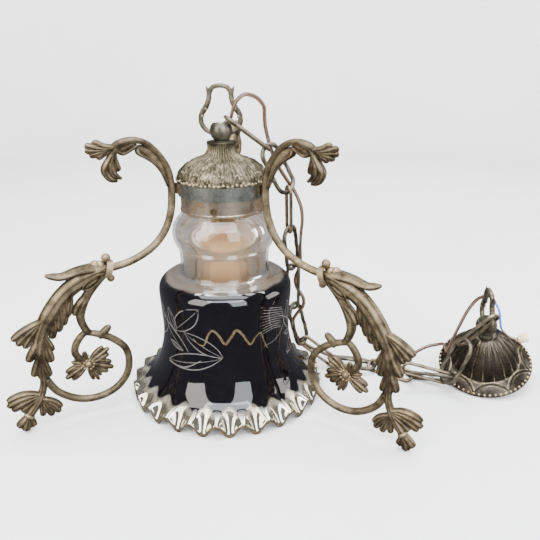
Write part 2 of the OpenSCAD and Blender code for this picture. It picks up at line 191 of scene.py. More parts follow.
class Finish:
    """One procedural material and short ways to add nodes to it."""

    def __init__(self, name):
        self.material = bpy.data.materials.new(name)
        self.material.use_nodes = True
        self.tree = self.material.node_tree
        self.shader = self.tree.nodes["Principled BSDF"]
        self.place = self.add("ShaderNodeTexCoord").outputs["Object"]

    def add(self, kind, **settings):
        node = self.tree.nodes.new(kind)
        for key, value in settings.items():
            setattr(node, key, value)
        return node

    def link(self, source, target):
        self.tree.links.new(source, target)

    def axes(self):
        """The X, Y and Z of a point as three values."""
        split = self.add("ShaderNodeSeparateXYZ")
        self.link(self.place, split.inputs[0])
        return [split.outputs[axis] for axis in "XYZ"]

    def pointiness(self):
        """Below a half in hollows and above it on ridges."""
        return self.add("ShaderNodeNewGeometry").outputs["Pointiness"]

    def noise(self, scale, detail=4, rough=0.6):
        node = self.add("ShaderNodeTexNoise")
        node.inputs["Scale"].default_value = scale
        node.inputs["Detail"].default_value = detail
        node.inputs["Roughness"].default_value = rough
        self.link(self.place, node.inputs["Vector"])
        return node.outputs["Fac"]

    def ramp(self, value, stops):
        """Colours or plain numbers at places from 0 to 1."""
        node = self.add("ShaderNodeValToRGB")
        ramp = node.color_ramp
        while len(ramp.elements) < len(stops):
            ramp.elements.new(0.5)
        for element, (at, colour) in zip(ramp.elements, stops):
            element.position = at
            shade = colour if isinstance(colour, tuple) else (colour, colour, colour)
            element.color = (*shade, 1)
        self.link(value, node.inputs["Fac"])
        return node.outputs["Color"]

    def mix(self, factor, a, b):
        node = self.add("ShaderNodeMix", data_type="RGBA")
        for value, socket in ((factor, node.inputs[0]), (a, node.inputs[6]), (b, node.inputs[7])):
            if isinstance(value, bpy.types.NodeSocket):
                self.link(value, socket)
            else:
                socket.default_value = (*value, 1) if isinstance(value, tuple) else value
        return node.outputs[2]

    def maths(self, operation, a, b=0.0):
        node = self.add("ShaderNodeMath", operation=operation)
        for value, socket in ((a, node.inputs[0]), (b, node.inputs[1])):
            if isinstance(value, bpy.types.NodeSocket):
                self.link(value, socket)
            else:
                socket.default_value = value
        return node.outputs[0]

    def bump(self, height, strength, distance):
        node = self.add("ShaderNodeBump")
        node.inputs["Strength"].default_value = strength
        node.inputs["Distance"].default_value = distance
        self.link(height, node.inputs["Height"])
        self.link(node.outputs["Normal"], self.shader.inputs["Normal"])

    def set(self, **values):
        """Sets or links the shader's own sockets."""
        for name, value in values.items():
            socket = self.shader.inputs[name.replace("_", " ")]
            if isinstance(value, bpy.types.NodeSocket):
                self.link(value, socket)
            else:
                socket.default_value = (*value, 1) if isinstance(value, tuple) else value


def cast_metal(name, dark, middle, bright, patina, grain=700, bump=0.5, rough=(0.32, 0.6), edge=0.6):
    """Old brass: painted shade in the hollows, ridges lightened by rubbed wear and a painted highlight, a
    green-grey bloom and a sandy grain.
    """
    f = Finish(name)
    cloud = f.noise(90, 6)
    sand = f.noise(grain, 3)
    colour = f.ramp(cloud, [(0.32, dark), (0.5, middle), (0.7, bright)])
    colour = f.mix(f.ramp(f.noise(45, 5), [(0.5, 0.0), (0.72, 0.75)]), colour, patina)
    colour = f.mix(f.ramp(sand, [(0.35, 0.35), (0.6, 0.0)]), colour, dark)
    point = f.pointiness()
    # Ridges lightened towards the bright colour, by up to edge: rubbed wear and a painted highlight.
    colour = f.mix(f.ramp(point, [(0.515, 0.0), (0.59, edge)]), colour, bright)
    # Hollows darkened below the dark colour: painted shade.
    colour = f.mix(f.ramp(point, [(0.44, 0.75), (0.495, 0.0)]), colour, tuple(c * 0.4 for c in dark))
    f.set(Base_Color=colour, Metallic=0.85, Roughness=f.ramp(sand, [(0.3, rough[1]), (0.7, rough[0])]))
    f.bump(sand, bump, 0.0006)
    return f.material


def plain_finish(name, dark, bright, scale=300, metallic=0.0, rough=(0.3, 0.5), bump=0.1, **extra):
    """A smooth material with slight wear in its colour and roughness."""
    f = Finish(name)
    wear = f.noise(scale, 4)
    f.set(Base_Color=f.ramp(wear, [(0.35, dark), (0.65, bright)]), Metallic=metallic,
          Roughness=f.ramp(wear, [(0.3, rough[1]), (0.7, rough[0])]), **extra)
    f.bump(wear, bump, 0.0003)
    return f.material


def ring_finish():
    """Spun brass with a coppery sheen and fine turning lines round it."""
    f = Finish("ring_metal")
    lines = f.add("ShaderNodeTexNoise", noise_dimensions="1D")
    lines.inputs["Scale"].default_value = 2500
    f.link(f.axes()[2], lines.inputs["W"])
    blotch = f.noise(60, 5)
    colour = f.ramp(blotch, [(0.35, (0.34, 0.27, 0.20)), (0.5, (0.58, 0.48, 0.37)),
                             (0.62, (0.72, 0.48, 0.30))])
    f.set(Base_Color=colour, Metallic=0.95, Roughness=f.ramp(blotch, [(0.3, 0.4), (0.7, 0.2)]))
    f.bump(lines.outputs["Fac"], 0.15, 0.0003)
    return f.material


def shade_glass():
    """Clear, faintly brown glass above; a near-black mirror below; silver gilt on the crimped edge."""
    f = Finish("shade_glass")
    x, y, z = f.axes()
    cloud = f.noise(30, 5)
    height = f.maths("ADD", z, f.maths("MULTIPLY", f.maths("SUBTRACT", cloud, 0.5), 0.004))
    # Ramps run from 0 to 1, so heights are counted in fifths of a metre and reaches in ninths.
    tall = f.maths("MULTIPLY", height, 5)
    smoked = f.ramp(tall, [(0.675, 1.0), (0.715, 0.0)])
    squared = f.maths("ADD", f.maths("MULTIPLY", x, x), f.maths("MULTIPLY", y, y))
    reach = f.maths("MULTIPLY", f.maths("SQRT", squared), 9)
    pleat = f.maths("COSINE", f.maths("MULTIPLY", f.maths("ARCTAN2", y, x), CRIMPS))
    gilded = f.ramp(f.maths("ADD", reach, f.maths("MULTIPLY", pleat, -0.03)), [(0.80, 0.0), (0.87, 1.0)])
    dark = f.ramp(cloud, [(0.3, (0.0010, 0.0009, 0.0013)), (0.7, (0.0026, 0.0023, 0.0034))])
    gilt = f.ramp(f.noise(120, 4), [(0.35, (0.38, 0.34, 0.25)), (0.65, (0.70, 0.67, 0.57))])
    clear = f.ramp(cloud, [(0.3, (0.48, 0.39, 0.31)), (0.7, (0.64, 0.56, 0.48))])
    line = f.ramp(tall, [(0.675, 0.0), (0.695, 0.8), (0.715, 0.0)])
    colour = f.mix(line, f.mix(smoked, clear, f.mix(gilded, dark, gilt)), (0.10, 0.07, 0.045))
    smear = f.noise(180, 4)
    f.set(Base_Color=colour, Metallic=f.maths("MULTIPLY", gilded, 0.95),
          Transmission_Weight=f.ramp(smoked, [(0.0, 1.0), (1.0, 0.0)]),
          IOR=1.6,
          Alpha=f.ramp(smoked, [(0.0, 0.7), (0.8, 1.0)]),
          Roughness=f.maths("MULTIPLY", f.ramp(smear, [(0.4, 0.02), (0.75, 0.08)]),
                            f.maths("ADD", f.maths("MULTIPLY", smoked, 0.9), 0.1)))
    f.bump(cloud, 0.05, 0.002)
    return f.material


def bell_finish():
    """Dark bronze, its ridges lightened to gold by rubbed wear and a painted highlight, its hollows
    darkened as painted shade.
    """
    f = Finish("bell_metal")
    cloud = f.noise(22, 3)
    colour = f.ramp(cloud, [(0.35, (0.022, 0.018, 0.013)), (0.65, (0.075, 0.060, 0.044))])
    point = f.pointiness()
    # Ridges lightened to gold: rubbed wear and a painted highlight.
    colour = f.mix(f.ramp(point, [(0.505, 0.0), (0.54, 0.8)]), colour, (0.50, 0.40, 0.25))
    # Hollows darkened almost to black: painted shade.
    colour = f.mix(f.ramp(point, [(0.45, 0.9), (0.495, 0.0)]), colour, (0.012, 0.009, 0.006))
    wear = f.noise(260, 4)
    f.set(Base_Color=colour, Metallic=0.8, Roughness=f.ramp(wear, [(0.3, 0.38), (0.7, 0.22)]))
    f.bump(wear, 0.12, 0.0004)
    return f.material


def flex_finish():
    """Two brown cores seen through a clear glossy sheath, with painted shade in the groove and at the outer
    sides and a painted highlight on each core's crown.
    """
    f = Finish("flex")
    band = f.add("ShaderNodeAttribute", attribute_name="around").outputs["Fac"]
    # Painted shading across the flex: dark painted shade at the groove and the sides, a painted highlight
    # at each crown.
    groove_painted_shade, slope, crown_painted_highlight = (0.03, 0.015, 0.01), (0.10, 0.052, 0.034), (0.20, 0.122, 0.086)
    cores = f.ramp(band, [(0.0, groove_painted_shade), (0.2, slope), (0.5, crown_painted_highlight), (0.8, slope), (1.0, groove_painted_shade)])
    wear = f.noise(160, 3)
    colour = f.mix(f.ramp(wear, [(0.4, 0.0), (0.7, 0.5)]), cores, (0.15, 0.10, 0.07))
    f.set(Base_Color=colour, Roughness=f.ramp(wear, [(0.3, 0.32), (0.7, 0.18)]), Coat_Weight=0.4,
          Coat_Roughness=0.1)
    f.bump(band, 0.35, 0.0008)
    return f.material


BRASS_DARK, BRASS, BRASS_BRIGHT = (0.055, 0.041, 0.024), (0.235, 0.178, 0.105), (0.50, 0.385, 0.235)

finish = {
    # The cap's ridges get a stronger painted highlight through edge=0.9.
    "cast_cap": cast_metal("cast_cap", (0.028, 0.023, 0.013), (0.12, 0.10, 0.062), (0.42, 0.35, 0.22),
                           (0.105, 0.098, 0.066), bump=0.9, edge=0.9),
    "band_metal": plain_finish("band_metal", (0.17, 0.175, 0.15), (0.46, 0.47, 0.42), 120, 0.95,
                               (0.22, 0.4)),
    "ring_metal": ring_finish(),
    "arm_metal": cast_metal("arm_metal", BRASS_DARK, BRASS, BRASS_BRIGHT, (0.18, 0.155, 0.10), bump=0.8),
    "lug_metal": plain_finish("lug_metal", (0.05, 0.037, 0.021), (0.19, 0.143, 0.083), 200, 0.9,
                              (0.35, 0.55), 0.4),
    "ball_metal": cast_metal("ball_metal", (0.05, 0.048, 0.036), (0.13, 0.125, 0.09), (0.26, 0.24, 0.17),
                             (0.13, 0.135, 0.10), bump=0.15, rough=(0.25, 0.42)),
    "loop_metal": cast_metal("loop_metal", (0.05, 0.043, 0.03), (0.21, 0.18, 0.125), (0.46, 0.39, 0.27),
                             (0.17, 0.165, 0.12), bump=0.6),
    "wire_metal": cast_metal("wire_metal", (0.10, 0.075, 0.045), (0.27, 0.21, 0.14), (0.48, 0.39, 0.27),
                             (0.20, 0.19, 0.14), bump=0.2, rough=(0.25, 0.42)),
    "dressed_metal": cast_metal("dressed_metal", (0.06, 0.052, 0.038), (0.25, 0.22, 0.165),
                                (0.52, 0.46, 0.34), (0.20, 0.19, 0.145), bump=0.6),
    "bell_metal": bell_finish(),
    "steel": plain_finish("steel", (0.35, 0.34, 0.32), (0.60, 0.59, 0.56), 250, 1.0, (0.25, 0.45)),
    "holder": plain_finish("holder", (0.05, 0.04, 0.03), (0.15, 0.12, 0.09), 200, 0.7, (0.35, 0.5)),
    "porcelain": plain_finish("porcelain", (0.78, 0.74, 0.66), (0.90, 0.87, 0.80), 150, 0.0, (0.15, 0.3)),
    "contact": plain_finish("contact", (0.45, 0.33, 0.16), (0.75, 0.58, 0.30), 300, 1.0, (0.2, 0.4)),
    "bulb_glass": plain_finish("bulb_glass", (0.88, 0.60, 0.31), (0.95, 0.72, 0.43), 40, 0.0, (0.18, 0.3),
                               0.03, Subsurface_Weight=0.35, Subsurface_Scale=0.01),
    "bulb_cap": plain_finish("bulb_cap", (0.40, 0.39, 0.37), (0.66, 0.64, 0.60), 300, 1.0, (0.25, 0.45)),
    "shade_glass": shade_glass(),
    "flex": flex_finish(),
    "blue_sheath": plain_finish("blue_sheath", (0.02, 0.13, 0.62), (0.05, 0.26, 0.88), 200, 0.0,
                                (0.2, 0.35)),
    "cream_sleeve": plain_finish("cream_sleeve", (0.68, 0.53, 0.30), (0.86, 0.74, 0.50), 150, 0.0,
                                 (0.25, 0.4)),
    "bare_wire": plain_finish("bare_wire", (0.55, 0.40, 0.25), (0.82, 0.66, 0.45), 400, 0.6, (0.3, 0.45)),
}
etched = plain_finish("etched", (0.050, 0.047, 0.044), (0.115, 0.108, 0.10), 500, 0.0, (0.5, 0.75), 0.3)
gilt_edge = plain_finish("gilt_edge", (0.08, 0.05, 0.028), (0.26, 0.19, 0.11), 300, 0.6, (0.25, 0.4))
bead_gold = plain_finish("bead_gold", (0.36, 0.27, 0.14), (0.68, 0.55, 0.32), 300, 0.9, (0.25, 0.4))

for part in frame["record"]["subparts"]:
    mesh = nodes[part["node"]].data
    mesh.materials.clear()
    mesh.materials.append(finish[part["material_slot"]])


# ------------------------------------------------------------------ flex

FLEX_D = 4.2
FLEX = {
    "stem": [[0, 0, 219.2], [0, 0, 241], [0, 0, 263], [0, 0, 284.4]],
    "arch": [[0, 0, 284.4], [1, -0.5, 289.5], [4.5, -0.5, 294], [9.5, -1.5, 297.5],
        [11.5, -3.5, 303], [14.5, -6.5, 311.5], [18.5, -7, 317], [23.5, -5.5, 320.5],
        [28.5, -3.5, 320.5], [36, 1.5, 317], [42, 5, 309], [42.5, 8, 299], [43, 13, 289],
        [45, 17.5, 278]],
    "drop": [[45, 17.5, 278], [50.5, 18.5, 260], [57, 20, 246], [65, 23.5, 233], [73, 24.5, 221],
        [80, 24.5, 205], [82, 25, 190], [81, 27.5, 175], [80.5, 31, 158], [81, 36, 142.5],
        [79.5, 41, 128.5], [75.5, 44, 115], [77.5, 44, 103], [85, 42, 91], [85, 41, 81],
        [79, 42, 72], [74, 44.5, 61], [76, 48, 45]],
    "run": [[76, 48, 45], [80, 51, 34], [90, 55, 23.5], [103, 59, 14], [120, 63, 4.5],
        [138, 64, 2.5], [157, 61, 2.5], [170, 53, 2.5], [182, 46, 2.5], [196, 42, 4], [210, 46, 9],
        [223.5, 54, 16.5], [238.5, 60.5, 21.5], [249.5, 60, 24.5], [254.5, 53, 29.5],
        [254.5, 44, 31], [254.5, 34.5, 29.5]],
    "tail": [[254.5, 34.5, 29.5], [253.5, 26.5, 34], [257, 24, 50.5], [263.5, 24.5, 69.5],
        [271, 25.5, 87.5], [279.5, 24.5, 101], [287.5, 16.5, 108], [289.5, 7.5, 108],
        [291, 3, 105.5]],
}


def tube(name, points, diameter, material, steps=5, sides=16, twist=0.0, waist=0.0):
    """A tube along a path, and the path it follows in metres."""
    path = [Vector(p) for p in smooth(points, steps)]
    last = len(path) - 1
    across = None
    rings, bands = [], []
    for i, here in enumerate(path):
        along = (path[min(i + 1, last)] - path[max(i - 1, 0)]).normalized()
        if across is None:
            across = along.orthogonal()
        across = (across - along * across.dot(along)).normalized()
        other = along.cross(across)
        ring = []
        for j in range(sides):
            a = TAU * j / sides + twist * i
            b = TAU * j / sides
            r = diameter / 2 * (1 - waist * (0.5 - 0.5 * math.cos(2 * b)))
            ring.append(here + r * (across * math.cos(a) + other * math.sin(a)))
            bands.append(0.5 - 0.5 * math.cos(2 * b))
        rings.append(ring)
    shape = Shape()
    shape.rings(rings)
    obj = shape.make(name, material)
    # around runs from 0 at the flex's sides to 1 at its waist; the flex finish paints its shade and
    # highlight from it, and its bumps.
    around = obj.data.attributes.new("around", "FLOAT", "POINT")
    around.data.foreach_set("value", bands)
    return obj, [tuple(p * MM) for p in path]


def lay_flex():
    """The twin flex, woven through the chain from the ball to the canopy's loop."""
    # The two bodies a length bends between, and the route point where it has joined the second.
    bends = {"drop": ("chain_top", "chain_drop", 4), "run": ("chain_drop", "chain_run", 3),
             "tail": ("chain_run", "canopy", 3)}
    riders = {"stem": "lamp", "arch": "chain_top"}
    for part, points in FLEX.items():
        obj, path = tube(f"flex_{part}_sheath", points, FLEX_D, finish["flex"], twist=0.06, waist=0.16)
        if part in bends:
            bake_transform(obj)
        else:
            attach(obj, riders[part])
        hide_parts(f"flex_{part}")


lay_flex()


# ----------------------------------------------------------------- shade

OUTLINE = [
    (40.2, 222), (39.5, 219), (39.5, 209), (43, 205), (47, 200), (51, 194.5),
    (53.3, 187), (53.3, 180), (51, 173), (47.6, 166), (46.8, 158), (46.8, 146), (49, 141.5),
    (56, 138.5), (64, 135), (69.3, 130), (71, 123.5), (70.5, 112), (69.5, 98), (68.6, 80),
    (69.6, 66), (72.5, 52), (77, 39), (83, 29), (90, 22.5)]
WALL = 3
RIM_WALL = 3
SKIRT_R, RIM_R = 90, 106    # where the crimps start and end
FRONT = 277                 # the side with the etched spray, in degrees
MM_PER_DEGREE = 1.22        # round the skirt at 70 mm radius
ETCH_LIFT = 0.15            # the etching's height above the glass


def crimp(share, angle):
    """Radius and height of the crimped rim at a share of its width."""
    wave = math.cos(CRIMPS * angle)
    sharp = math.copysign(abs(wave) ** 0.8, wave)
    radius = SKIRT_R + (RIM_R - SKIRT_R) * share - 0.9 * share * (1 - wave)
    return radius, 21 - 13.2 * share + 6 * share ** 1.15 * sharp


def make_shade():
    """The blown shade: outer wall, crimped rim and inner wall in one closed skin."""
    columns = CRIMPS * 12
    angles = turns(columns)
    outside = smooth(OUTLINE, 5)
    shares = [i / 10 for i in range(1, 11)]
    rings = [[spot(r, a, z) for a in angles] for r, z in outside]

    def rim(share, lift):
        ring = []
        for a in angles:
            r, z = crimp(share, a)
            ring.append(spot(r, a, z + lift))
        return ring

    rings += [rim(s, RIM_WALL / 2) for s in shares]
    edge_low = len(rings)
    rings += [rim(s, -RIM_WALL / 2) for s in reversed(shares)]
    inside = [(r - WALL, z - (0.6 if i else 0)) for i, (r, z) in enumerate(outside)]
    rings += [[spot(r, a, z) for a in angles] for r, z in reversed(inside)]
    shape = Shape()
    shape.rings(rings, closed=True)
    obj = shape.make("shade_blown", finish["shade_glass"])
    obj.data.materials.append(gilt_edge)
    for face in obj.data.polygons[(edge_low - 1) * columns:edge_low * columns]:
        face.material_index = 1
    stand_in(obj, "shade", "shade_glass", "glass_shade")


def wall_radius(z):
    """Outside radius of the shade's skirt at a height."""
    for (r1, z1), (r2, z2) in zip(OUTLINE, OUTLINE[1:]):
        if z2 <= z <= z1:
            return r1 + (r2 - r1) * (z1 - z) / (z1 - z2)
    return OUTLINE[-1][0]


def etched_line(shape, points, width, steps=6):
    """A thin etched line on the skirt through points of [turn from the front, height]."""
    line = smooth(points, steps)
    last = len(line) - 1
    rows = []
    for i, (turn, z) in enumerate(line):
        before, after = line[max(i - 1, 0)], line[min(i + 1, last)]
        across = (after[0] - before[0]) * MM_PER_DEGREE
        rise = after[1] - before[1]
        size = math.hypot(across, rise) or 1
        half = width / 2 * (0.35 + 0.65 * math.sin(math.pi * i / last))
        spots = []
        for side in (-1, 1):
            h = z + side * half * across / size
            a = math.radians(FRONT + turn - side * half * rise / size / MM_PER_DEGREE)
            spots.append(spot(wall_radius(h) + ETCH_LIFT, a, h))
        rows.append(spots)
    base = len(shape.verts)
    for low, high in rows:
        shape.verts += [low, high]
    shape.faces += [(base + 2 * i, base + 2 * i + 2, base + 2 * i + 3, base + 2 * i + 1)
                    for i in range(last)]


def etched_leaf(shape, foot, tip, width, turn):
    """The outline and vein of a pointed leaf."""
    (x1, z1), (x2, z2) = foot, tip
    for side in (-1, -0.12, 1):
        points = []
        for t in (0, 0.25, 0.55, 0.8, 1):
            swell = width / 2 * side * math.sin(math.pi * t) ** 0.8
            points.append([turn + x1 + (x2 - x1) * t - (z2 - z1) * swell / 30,
                           z1 + (z2 - z1) * t + (x2 - x1) * swell / 30])
        etched_line(shape, points, 1.2 if side in (-1, 1) else 0.7)


def etched_spray(shape, turn):
    """Stems with five pointed leaves."""
    etched_line(shape, [[turn - 70, 105], [turn - 56, 96], [turn - 44, 86], [turn - 34, 72]], 1.8)
    etched_line(shape, [[turn - 66, 112], [turn - 58, 90], [turn - 46, 78]], 1.2)
    for foot, tip, width in (((-50, 92), (-22, 123), 13), ((-48, 90), (-56, 116), 9),
                             ((-38, 94), (-3, 71), 10), ((-58, 56), (-4, 70), 9),
                             ((-58, 78), (-40, 72), 7)):
        etched_leaf(shape, foot, tip, width, turn)
    etched_line(shape, [[turn - 58, 54], [turn - 38, 55], [turn - 22, 66]], 1.6)


def etched_fan(shape, turn):
    """Ten fine strokes, with a curved line below and one across them."""
    for k in range(10):
        z = 92 + 2.6 * k
        etched_line(shape, [[turn + 29 + k % 3, z - 2 + 0.9 * k], [turn + 43, z + 1],
                            [turn + 56 - k % 2, z - 3]], 0.9)
    etched_line(shape, [[turn + 33, 76], [turn + 50, 80], [turn + 60, 92], [turn + 60, 108]], 0.9)
    etched_line(shape, [[turn + 42, 92], [turn + 38, 112], [turn + 46, 126]], 0.9)


def etch_shade():
    """Three sprays and fans round the skirt, and a painted line on its front for the far rim as it shows
    through.
    """
    shape = Shape()
    for third in range(3):
        etched_spray(shape, 120 * third)
        etched_fan(shape, 120 * third)
    stand_in(shape.make("shade_etching", etched), "shade", "shade_glass")
    # A painted gilt line on the front stands in for the far edge of the ruffle, as it shows through the
    # smoked front.
    wave = Shape()
    etched_line(wave, [[-29, 89], [-24, 84], [-19, 84], [-15, 96], [-11, 101], [-6, 95], [-1, 86], [4, 94],
                       [8, 101], [13, 96], [20, 83], [25, 90], [30, 93], [33, 84], [37, 73]], 2.8)
    stand_in(wave.make("shade_painted_far_edge", gilt_edge), "shade", "shade_glass")


make_shade()
etch_shade()


# ------------------------------------------------------------------- cap

CAP_TOP = 276
CAP = [
    (5.6, 276), (14.2, 276), (14.6, 271.5), (15.4, 267.4), (18.6, 263), (24.5, 259.6), (31.5, 256.4),
    (38.5, 251.6), (43.8, 245.8), (46.4, 241), (46.8, 238.4), (44.5, 238.2), (42, 241), (38, 246),
    (29, 254), (14, 260), (5.6, 268)]


def turned(shape, outline, outer, relief, columns, top=math.inf):
    """A closed turned skin; relief(angle, r, z) lifts the stretch up to point number outer."""
    steps = 6
    line = smooth(outline, steps)
    last = len(line) - 1
    rings = []
    for i, (r, z) in enumerate(line):
        (r1, z1), (r2, z2) = line[max(i - 1, 0)], line[min(i + 1, last)]
        normal = Vector((z1 - z2, r2 - r1)).normalized()
        ring = []
        for a in turns(columns):
            lift = relief(a, r, z) if i < outer * steps else 0
            ring.append(spot(r + normal.x * lift, a, min(z + normal.y * lift, top)))
        rings.append(ring)
    shape.rings(rings, closed=True)


def cap_relief(angle, r, z):
    """Feathered ribs on the neck, leaf lobes and grains on the shoulder."""
    if z > CAP_TOP - 1.5 or r < 12:
        return 0
    rise = min((CAP_TOP - z) / 6, 1)
    shoulder = max(0, min((r - 17) / 10, 1, (47.5 - r) / 3))
    ribs = 0.6 * math.cos(40 * angle) * max(0, 1 - abs(r - 18) / 14)
    fold = abs(math.sin(6 * angle))
    vein = math.exp(-(math.sin(12 * angle) / 0.22) ** 2)
    leaf = (1.5 * fold ** 0.5 - 0.6 * vein + 0.32 * math.cos(72 * angle)) * shoulder
    grain = noise.noise(Vector(spot(r, angle, z)) * 0.55) * min(max(r - 14, 0) / 6, 1)
    brim = max(0, min((r - 26) / 8, 1)) * max(0, min((47 - r) / 4, 1))
    tips = 0.8 * math.cos(18 * angle + r * 0.55) * brim
    return rise * (ribs + leaf - 0.9 + 1.1 * grain + 0.5 * tips)


def make_cap():
    """The cast cap, with large beads on its rim and small ones higher on its shoulder."""
    shape = Shape()
    turned(shape, CAP, 10, cap_relief, 432, CAP_TOP)
    for a in turns(66):
        shape.ball(spot(45.6, a, 239.4 + 0.7 * math.cos(22 * a)), 1.75)
    for a in turns(60, 0.5):
        shape.ball(spot(41.6, a, 247.6 + 0.9 * math.cos(12 * a)), 1.25)
    stand_in(shape.make("cap_relief", finish["cast_cap"]), "lamp", "cast_cap", "cap")


make_cap()


# ------------------------------------------------------------------ arms

def arm_place(i):
    """Turns an arm drawn along +X to its own side."""
    return Matrix.Rotation(FIRST_ARM + TAU * i / 3, 4, "Z")


def leaflet(shape, foot, tip, width, thick=3.0, bow=0.0):
    """A grooved leaflet with a rounded end; bow bends it sideways."""
    (x1, z1), (x2, z2) = foot, tip
    points = []
    for t, wide, deep in ((0, 0.55, 1), (0.3, 0.8, 1), (0.62, 1, 0.95), (0.9, 0.94, 0.8), (1, 0.5, 0.4)):
        side = 4 * bow * t * (1 - t)
        points.append([x1 + (x2 - x1) * t - (z2 - z1) * side, z1 + (z2 - z1) * t + (x2 - x1) * side,
                       width / 2 * wide, thick * deep])
    shape.strand(points, 4, 18, grooves=6, depth=0.34)


def frond(shape, foot, tip, width, pairs=2, thick=3.2):
    """An acanthus leaf: a middle leaflet with pairs of shorter ones beside it."""
    (x1, z1), (x2, z2) = foot, tip
    length = math.hypot(x2 - x1, z2 - z1)
    heading = math.atan2(z2 - z1, x2 - x1)
    leaflet(shape, foot, tip, width * 0.42, thick)
    for k in range(pairs):
        start = 0.05 + 0.26 * k
        reach = length * (0.82 - 0.24 * k)
        spread = math.asin(min(width * (0.36 - 0.02 * k) / reach, 0.8))
        x, z = x1 + (x2 - x1) * start, z1 + (z2 - z1) * start
        for side in (-1, 1):
            a = heading + side * spread
            leaflet(shape, (x, z), (x + reach * math.cos(a), z + reach * math.sin(a)), width * 0.36,
                    thick * (0.9 - 0.1 * k), side * 0.10)


def upper_scroll(shape):
    """The curved bar, and the thin leaves rolled open inside it."""
    shape.strand([
        [123.7, 160, 4.2, 4.2], [104, 163, 4, 4], [88, 169, 4, 4], [74, 178, 4, 4],
        [63, 191, 4, 4], [56, 208, 4, 4], [53.5, 229, 4, 4], [55.5, 250, 3.8, 4.2],
        [63.5, 266, 3.4, 4.6], [75, 278, 3.2, 5.2], [88, 282, 3.4, 5.6], [101, 279, 4.4, 5.6],
        [107, 276, 3, 4]], 5, 20, grooves=3, depth=0.08)
    shape.strand([[56, 236, 2.5, 3.5], [62, 250, 1.8, 5], [69, 259, 1.8, 5.4], [77, 265, 1.8, 5.4],
                  [84, 270, 2.4, 5], [84, 275, 2, 3.6]], 5, 14, grooves=4, depth=0.2)
    shape.strand([[84, 277, 2, 4], [91, 273, 1.8, 5], [98, 270, 1.9, 4.6], [103, 273, 2, 3.6]], 5, 14)
    for web in ([[57, 241, 2, 1.4], [60.5, 251, 3.6, 1.4], [67, 262, 4.6, 1.4], [75, 270, 4.6, 1.4],
                 [84, 275, 3, 1.4]],
                [[86, 279, 2, 1.4], [92, 277, 3.4, 1.4], [98, 275, 3.6, 1.4], [103, 276, 2, 1.4]]):
        shape.strand(web, 5, 12)


def fan_leaf(shape):
    """Five leaflets that open outwards at the top of the arm."""
    for tip, bow in (((124, 283), -0.14), ((131, 280), -0.11), ((131.5, 275), -0.07),
                     ((128, 270), -0.02), ((122, 267), 0.05)):
        leaflet(shape, (102, 278), tip, 8, 4.6, bow)


def hooked_leaf(shape):
    """Two strands and a leaflet that hook down and in."""
    for strand in ([[103, 279, 3.5, 4.5], [107, 269, 3.6, 5], [110, 260, 4, 5.5], [108, 252, 4, 5.5],
                    [101, 247, 1.6, 2.4]],
                   [[105, 274, 3, 4], [112, 264, 3.6, 5.2], [116, 256, 4, 5.6], [112, 248, 3.6, 5],
                    [105, 245, 1.6, 2.4]]):
        shape.strand(strand, 5, 18, grooves=6, depth=0.3)
    leaflet(shape, (106, 274), (103, 254), 8, 5, 0.06)


def upper_arm(i):
    """The casting from the collar up to the fan at the top."""
    shape = Shape()
    upper_scroll(shape)
    fan_leaf(shape)
    hooked_leaf(shape)
    obj = shape.make(f"upper_arm_cast_{ARMS[i]}", finish["arm_metal"], arm_place(i))
    stand_in(obj, "lamp", "arm_metal", f"upper_arm_{ARMS[i]}")


def flower(shape, x, z):
    """A domed button with beads round it and five lobed petals."""
    shape.ball((x, 0, z), 4.6, 1.5, (0, 1, 0), 14)
    for a in turns(10):
        for face in (-5, 5):
            shape.ball((x + 5.2 * math.cos(a), face, z + 5.2 * math.sin(a)), 1.2)
    for tip, width in (((129, 75), 14), ((126.5, 52), 15), ((142, 41), 11), ((174, 50), 15),
                       ((167, 67), 9)):
        frond(shape, (x, z), tip, width, 2, 3.4)
    leaflet(shape, (x, z), (154, 76), 6)


def acanthus_stem(shape):
    """The ribbed stem from the collar down to the foot, under a blunt horn."""
    shape.strand([
        [124, 160, 6, 6], [138, 156, 8, 8], [152, 150, 9, 8], [164, 142, 9, 8],
        [176, 129, 9, 8], [186, 114, 8.5, 8], [192, 100, 7, 7], [195, 84, 6, 6],
        [195, 66, 4.5, 5], [195, 50, 4, 4.4], [199, 38, 4.5, 5], [205, 28, 5, 5.5],
        [212, 19, 4.6, 5]], 6, 24, grooves=8, depth=0.30)
    shape.strand([[123, 160, 6, 6], [136, 162, 6.5, 6.5], [150, 161.5, 5.5, 6], [165, 158.5, 4.4, 5],
                  [174, 160, 3.6, 4], [180, 162, 1.6, 2]], 6, 20, grooves=5, depth=0.22)


def rolled_head(shape):
    """Two knobs, and a leaf rolled into a leaning oval with a leaflet in it."""
    for x, z in ((129, 165), (134, 166)):
        shape.ball((x, 0, z), 4.6)
    long, short = 11, 4
    along, across = 0.82, 0.57
    roll = [[139 + long * math.cos(a) * along + short * math.sin(a) * across,
             150.5 - long * math.cos(a) * across + short * math.sin(a) * along, 1.3, 8.6]
            for a in turns(14) + [TAU]]
    shape.strand(roll, 3, 10)
    leaflet(shape, (134, 153), (146, 144), 5, 8.4)


def stem_leaves(shape):
    """Leaflets inside the stem, a broad tip leaf, and two tiers of drooping leaves."""
    for foot, tip in (((160, 144), (166, 117)), ((166, 138), (170, 109)), ((172, 130), (175, 103)),
                      ((178, 122), (182, 97))):
        leaflet(shape, foot, tip, 9, 5.6, -0.06)
    for tip, width in (((217, 102), 9), ((213, 96), 9), ((207, 92), 9), ((202, 97), 8)):
        leaflet(shape, (186, 118), tip, width, 5, 0.05)
    for foot, tip, width in (((190, 104), (206, 77), 10), ((190, 104), (185, 72), 10),
                             ((190, 102), (195, 72), 10), ((189, 104), (182, 84), 7),
                             ((194, 84), (203, 60), 9), ((194, 84), (188, 57), 8),
                             ((195, 82), (196, 56), 9)):
        leaflet(shape, foot, tip, width, 5.6)


